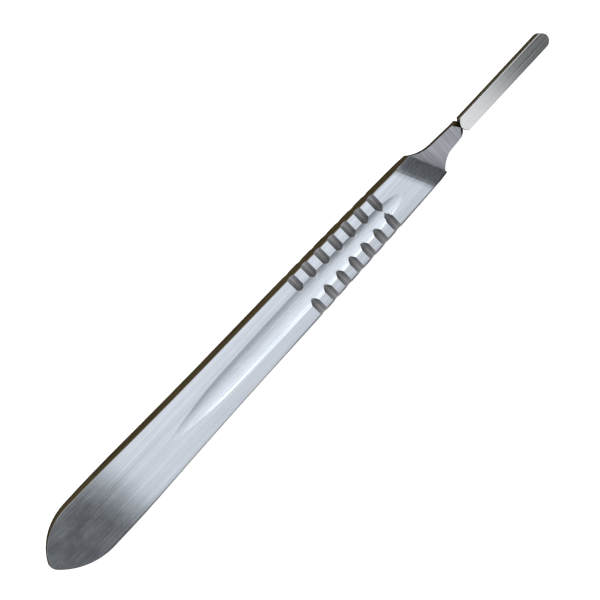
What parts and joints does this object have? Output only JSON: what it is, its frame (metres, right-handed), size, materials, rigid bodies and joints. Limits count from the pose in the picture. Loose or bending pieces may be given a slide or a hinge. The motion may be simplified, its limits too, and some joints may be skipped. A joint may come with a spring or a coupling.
{
  "type": "scalpel handle",
  "caption": "Flat steel scalpel handle with a hollow flute, finger notches on both faces, a slanted shoulder and a grooved lug for a replaceable blade.",
  "frame": {"origin": "middle of the footprint, on the surface that the handle lies on", "axes": "+X along the handle towards the blade lug, +Z out of the front face, +Y towards the short side of the shoulder"},
  "size_m": [0.135, 0.0122, 0.003],
  "materials": {
    "steel": "brushed along the length, satin"
  },
  "bodies": {
    "root": {"handle": "steel"}
  },
  "joints": []
}
